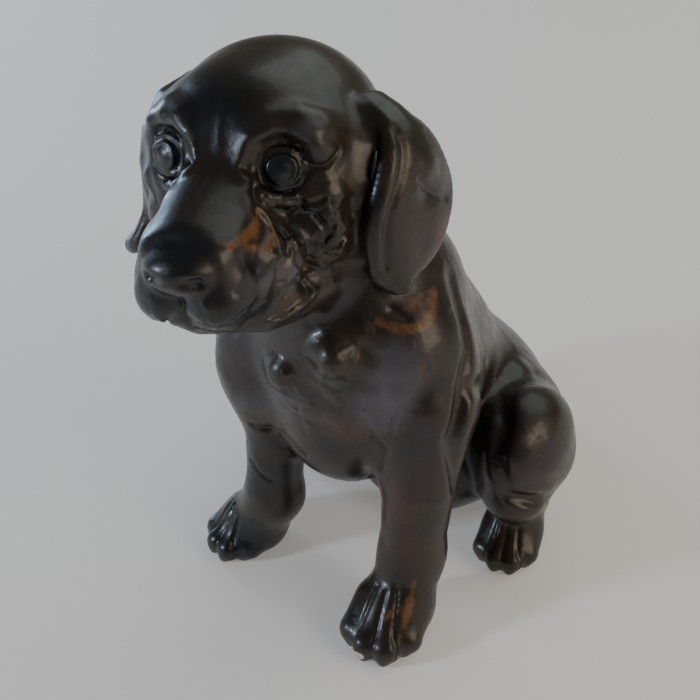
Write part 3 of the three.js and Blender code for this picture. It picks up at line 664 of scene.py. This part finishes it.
def toolMarkTree(material):
    # Flats left by a modelling tool: every cell of a Voronoi pattern is a small raised or sunken plane.
    tree = bpy.data.node_groups.new("toolMarks", "GeometryNodeTree")
    face = tree.interface
    face.new_socket("Geometry", in_out="INPUT", socket_type="NodeSocketGeometry")
    for name in ("Flat size", "Tilt", "Seed"):
        face.new_socket(name, in_out="INPUT", socket_type="NodeSocketFloat")
    face.new_socket("Geometry", in_out="OUTPUT", socket_type="NodeSocketGeometry")
    start = addNode(tree, "NodeGroupInput")
    end = addNode(tree, "NodeGroupOutput")
    where = addNode(tree, "GeometryNodeInputPosition")
    normal = addNode(tree, "GeometryNodeInputNormal")
    per = addNode(tree, "ShaderNodeMath", {1: start.outputs["Flat size"]}, operation="DIVIDE", in_0=1.0)
    warp = addNode(tree, "ShaderNodeTexNoise", {"Vector": where.outputs[0]}, noise_dimensions="3D",
                   in_Scale=60.0, in_Detail=2.0)
    bend = addNode(tree, "ShaderNodeVectorMath", {0: warp.outputs["Color"]}, operation="SCALE", in_Scale=0.01)
    bent = addNode(tree, "ShaderNodeVectorMath", {0: where.outputs[0], 1: bend.outputs[0]}, operation="ADD")
    cells = addNode(tree, "ShaderNodeTexVoronoi",
                    {"Vector": bent.outputs[0], "Scale": per.outputs[0], "W": start.outputs["Seed"]},
                    voronoi_dimensions="4D", feature="SMOOTH_F1", in_Smoothness=0.12)
    mask = addNode(tree, "GeometryNodeInputNamedAttribute", data_type="FLOAT", in_Name="tool")
    fromMiddle = addNode(tree, "ShaderNodeVectorMath", {0: bent.outputs[0], 1: cells.outputs["Position"]},
                         operation="SUBTRACT")
    lean = addNode(tree, "ShaderNodeVectorMath", {0: cells.outputs["Color"]}, operation="SUBTRACT")
    lean.inputs[1].default_value = (0.5, 0.5, 0.5)
    tilt = addNode(tree, "ShaderNodeVectorMath", {0: fromMiddle.outputs[0], 1: lean.outputs[0]},
                   operation="DOT_PRODUCT")
    deep = addNode(tree, "ShaderNodeMath", {0: tilt.outputs["Value"], 1: start.outputs["Tilt"]},
                   operation="MULTIPLY")
    masked = addNode(tree, "ShaderNodeMath", {0: deep.outputs[0], 1: mask.outputs[0]}, operation="MULTIPLY")
    offset = addNode(tree, "ShaderNodeVectorMath", {0: normal.outputs[0], "Scale": masked.outputs[0]},
                     operation="SCALE")
    moved = addNode(tree, "GeometryNodeSetPosition",
                    {"Geometry": start.outputs["Geometry"], "Offset": offset.outputs[0]})
    real = addNode(tree, "GeometryNodeRealizeInstances", {"Geometry": moved.outputs[0]})
    painted = addNode(tree, "GeometryNodeSetMaterial", {"Geometry": real.outputs[0]})
    painted.inputs["Material"].default_value = material
    tree.links.new(painted.outputs[0], end.inputs["Geometry"])
    return tree


def nearSpots(p, spots):
    # How near each point is to the nearest of the spots: 1 in the middle, 0 at its reach.
    out = np.zeros(len(p))
    for at, reach, strength in spots:
        d = np.linalg.norm((p - np.array(at)) / np.array(reach), axis=1)
        out = np.maximum(out, strength * np.clip(1 - d, 0, 1))
    return out


# Where the clay was worked with a tool and where it was smoothed again: place, reach, strength.
toolFace = [((46, -58, -26), (28, 40, 40), 3.0), ((6, -100, -52), (40, 36, 26), 2.0),
            ((-44, -62, -30), (34, 45, 42), 1.4)]
toolBody = [((15, -90, 190), (50, 36, 45), 0.9), ((40, -90, 165), (30, 30, 40), 0.5)]
inHead = toHead(points)
tool = toolMarks["everywhere"] + nearSpots(inHead, toolFace) + nearSpots(points, toolBody)
smoothSpots = [((0, -10, 50), (70, 70, 60), 1.5), ((0, -90, -5), (24, 45, 16), 1.5)]
smoothSpots += [(place[0], (26, 26, 24), 3.0) for place in eye["places"]]
tool = np.clip(tool - nearSpots(inHead, smoothSpots), 0.0, toolMarks["strongest"])
tool *= np.clip(points[:, 2] / toolMarks["fadeAtGround"], 0, 1)
mesh.attributes.new("tool", "FLOAT", "POINT").data.foreach_set("value", tool.astype(np.float32))

tree = toolMarkTree(waxedBronze)
marks = dog.modifiers.new("toolMarks", "NODES")
marks.node_group = tree
ids = {item.name: item.identifier for item in tree.interface.items_tree if item.in_out == "INPUT"}
marks[ids["Flat size"]] = toolMarks["flatSize"]
marks[ids["Tilt"]] = toolMarks["tilt"]
marks[ids["Seed"]] = toolMarks["seed"]
thin = dog.modifiers.new("thin", "DECIMATE")
thin.ratio = skin["triangles"] / (2 * len(mesh.polygons))
thin.use_collapse_triangulate = True
fine = bpy.data.meshes.new_from_object(dog.evaluated_get(bpy.context.evaluated_depsgraph_get()))
dog.modifiers.clear()
dog.data = fine
fine.name = "dogSculpture"
fine.polygons.foreach_set("use_smooth", np.ones(len(fine.polygons), bool))
print("fine mesh has", len(fine.polygons), "triangles")

# Where the patina is rubbed, tinted or chipped, and where shade and sheen are painted into the colour.
place = np.empty(len(fine.vertices) * 3, np.float32)
fine.vertices.foreach_get("co", place)
place = place.reshape(-1, 3) * 1000 / scale - shift
inHead = toHead(place)
lineSteps = 12


def nearLines(p, lines):
    # How near each point is to the nearest of the lines, fading over its width.
    out = np.zeros(len(p))
    for drawn, width, strength in lines:
        line = dict(points=smoothCurve(drawn, lineSteps), radii=(0,) * (lineSteps + 1))
        close = limbDistance(line, p.astype(np.float32))
        out = np.maximum(out, strength * np.exp(-(close / width) ** 2))
    return out


# Warm rubs, slate-grey painted sheen, red-brown stains, blue-black painted shade and white chips: place,
# reach and strength. "Head" lists are in the head's frame, "Body" lists in the clay's.
rubHead = [((30, -92, -16), (9, 16, 9), 0.8), ((36, -80, -25), (7, 11, 12), 0.8),
           ((88, -10, -55), (14, 18, 14), 0.8)]
rubBody = [((57, -47, 239), (18, 18, 10), 1.0), ((70, -62, 206), (6, 7, 6), 1.1),
           ((76, -100, 36), (8, 14, 12), 0.8)]
rubHeadLines = [([(25, -116, -16), (28, -100, -14), (28, -88, -12), (27, -80, -7)], 3.5, 1.3),
                ([(28, -104, -20), (33, -90, -24), (35, -81, -21), (33, -77, -14)], 3.0, 1.2)]
rubBodyLines = [([(46, -69, 235), (56, -63, 230), (65, -53, 229), (66, -40, 233), (60, -30, 240)], 4.0, 1.5),
                ([(77, -90, 49), (79, -98, 37), (80, -108, 26)], 2.8, 1.5),
                ([(68, -112, 31), (72, -105, 38)], 2.8, 1.2)]
# Painted sheen: pale slate grey where the chest, brow, ear and muzzle catch the light.
paintedSheenHead = [((39, -74, -44), (11, 20, 15), 1.6), ((103, 4, -4), (12, 22, 18), 1.5),
             ((35, -94, -40), (10, 12, 12), 1.0), ((48, -60, 34), (12, 12, 9), 1.0)]
paintedSheenBody = [((60, -72, 205), (24, 30, 34), 2.0), ((52, -86, 178), (26, 26, 26), 1.6),
             ((-38, -96, 150), (30, 30, 20), 0.6)]
umberHead = [((42, -72, -58), (10, 14, 10), 1.0), ((104, 6, -34), (16, 20, 18), 1.2),
             ((100, 8, 22), (16, 18, 14), 0.9)]
umberBody = [((34, -95, 158), (26, 20, 20), 1.5), ((60, -78, 90), (30, 30, 60), 0.9),
             ((96, 30, 60), (26, 30, 30), 0.7)]
# Painted shade: blue-black over the flews, eyes and forehead, the shaded right leg and paw, the left flank
# and the chest under the head.
paintedShadeHead = [((0, -104, -46), (70, 46, 38), 1.8), ((30, -56, 10), (22, 22, 20), 2.0),
             ((-36, -50, 8), (30, 40, 40), 1.8), ((-6, -60, 40), (40, 50, 34), 1.3),
             ((0, -118, -22), (30, 30, 24), 1.8), ((76, -38, -10), (10, 14, 60), 1.4),
             ((42, -62, -18), (22, 26, 24), 1.0)]
paintedShadeBody = [((-70, -96, 20), (34, 40, 34), 1.9), ((-54, -70, 80), (34, 40, 60), 1.6),
             ((60, -4, 60), (34, 40, 60), 1.6), ((20, -60, 250), (50, 40, 40), 1.2),
             ((48, -112, 24), (16, 24, 18), 1.0)]
chipBody = [((60, -133, 9), (5, 5, 4), 2.2), ((71, -134, 9), (5, 5, 4), 2.2),
            ((86, -121, 10), (5, 5, 4), 2.0)]
layers = dict(
    paintedShade=nearSpots(inHead, paintedShadeHead) + nearSpots(place, paintedShadeBody),
    rub=(nearSpots(inHead, rubHead) + nearSpots(place, rubBody)
         + nearLines(inHead, rubHeadLines) + nearLines(place, rubBodyLines)),
    paintedSheen=nearSpots(inHead, paintedSheenHead) + nearSpots(place, paintedSheenBody),
    umber=nearSpots(inHead, umberHead) + nearSpots(place, umberBody),
    chip=nearSpots(place, chipBody),
)
for name, amount in layers.items():
    fine.attributes.new(name, "FLOAT", "POINT").data.foreach_set("value", amount.astype(np.float32))

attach(dog, "root")
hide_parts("dog")

# Floor, light and camera.
studio = dict(
    floor="#f1eeea", floorGlow=0.22, floorRoughness=0.8, floorHalf=6,
    low="#d8c2a6", high="#c4c6c2", worldStrength=0.23,
    lamps=[  # name, place, size in metres, power in watts, colour
        ("windowLight", (-1.25, -1.7, 0.85), (0.28, 0.28), 19, "#dbe8ff"),
        ("leftLight", (-1.8, 0.3, 0.45), (0.35, 0.7), 9, "#bcdcff"),
        ("ceilingLight", (0.2, 1.5, 1.8), (2.6, 1.6), 16, "#e6f2ee"),
        ("sideLight", (1.8, 0.2, 0.9), (1.2, 1.0), 13, "#ffe9d2"),
    ],
    lampTarget=(0, 0, 0.2),
)

floorMesh = bpy.data.meshes.new("studioFloor")
half = studio["floorHalf"]
floorMesh.from_pydata([(-half, -half, 0), (half, -half, 0), (half, half, 0), (-half, half, 0)], [],
                      [(0, 1, 2, 3)])
floor = bpy.data.objects.new("studioFloor", floorMesh)
bpy.context.scene.collection.objects.link(floor)
floorMaterial = bpy.data.materials.new("paleFloor")
floorMaterial.use_nodes = True
floorShader = floorMaterial.node_tree.nodes["Principled BSDF"]
floorShader.inputs["Base Color"].default_value = fromHex(studio["floor"])
floorShader.inputs["Roughness"].default_value = studio["floorRoughness"]
floorShader.inputs["Emission Color"].default_value = fromHex(studio["floor"])
floorShader.inputs["Emission Strength"].default_value = studio["floorGlow"]
floorMesh.materials.append(floorMaterial)

world = bpy.data.worlds.new("studio")
world.use_nodes = True
sky = world.node_tree
skyCoords = addNode(sky, "ShaderNodeTexCoord")
height = addNode(sky, "ShaderNodeSeparateXYZ", {0: skyCoords.outputs["Generated"]})
fade = addNode(sky, "ShaderNodeMapRange", {"Value": height.outputs["Z"]}, in_1=-0.2, in_2=0.7)
tint = addNode(sky, "ShaderNodeMix", {0: fade.outputs[0]}, data_type="RGBA", in_6=fromHex(studio["low"]),
               in_7=fromHex(studio["high"]))
sky.links.new(tint.outputs[2], sky.nodes["Background"].inputs["Color"])
sky.nodes["Background"].inputs["Strength"].default_value = studio["worldStrength"]
bpy.context.scene.world = world


def areaLight(name, at, size, power, colour):
    data = bpy.data.lights.new(name, "AREA")
    data.shape = "RECTANGLE"
    data.size, data.size_y = size
    data.energy = power
    data.color = fromHex(colour)[:3]
    lamp = bpy.data.objects.new(name, data)
    lamp.location = at
    lamp.rotation_euler = (Vector(studio["lampTarget"]) - Vector(at)).to_track_quat("-Z", "Y").to_euler()
    bpy.context.scene.collection.objects.link(lamp)


for lamp in studio["lamps"]:
    areaLight(*lamp)
print("studio lit")

# The camera's turn round the dog, its height above the level, and its lens for the picture's width.
view = dict(
    azimuth=40, elevation=37, distance=850, target=(-24.1, -14.1, 150.8), roll=-5, focal=1248.4, picture=700,
    sensor=36, nearest=0.01,
)
az, el, roll = (math.radians(view[k]) for k in ("azimuth", "elevation", "roll"))
back = Vector((math.sin(az) * math.cos(el), -math.cos(az) * math.cos(el), math.sin(el)))
level = Vector((math.cos(az), math.sin(az), 0))
above = back.cross(level)
right = level * math.cos(roll) + above * math.sin(roll)
up = above * math.cos(roll) - level * math.sin(roll)
camera = bpy.data.objects.new("photoCamera", bpy.data.cameras.new("photoCamera"))
camera.data.sensor_width = view["sensor"]
camera.data.lens = view["focal"] * view["sensor"] / view["picture"]
camera.data.clip_start = view["nearest"]
turn = Matrix((right, up, back)).transposed().to_4x4()
stand = toFrame(np.array(view["target"]) + np.array(back) * view["distance"])
camera.matrix_world = Matrix.Translation(Vector(stand)) @ turn
bpy.context.scene.collection.objects.link(camera)
bpy.context.scene.camera = camera
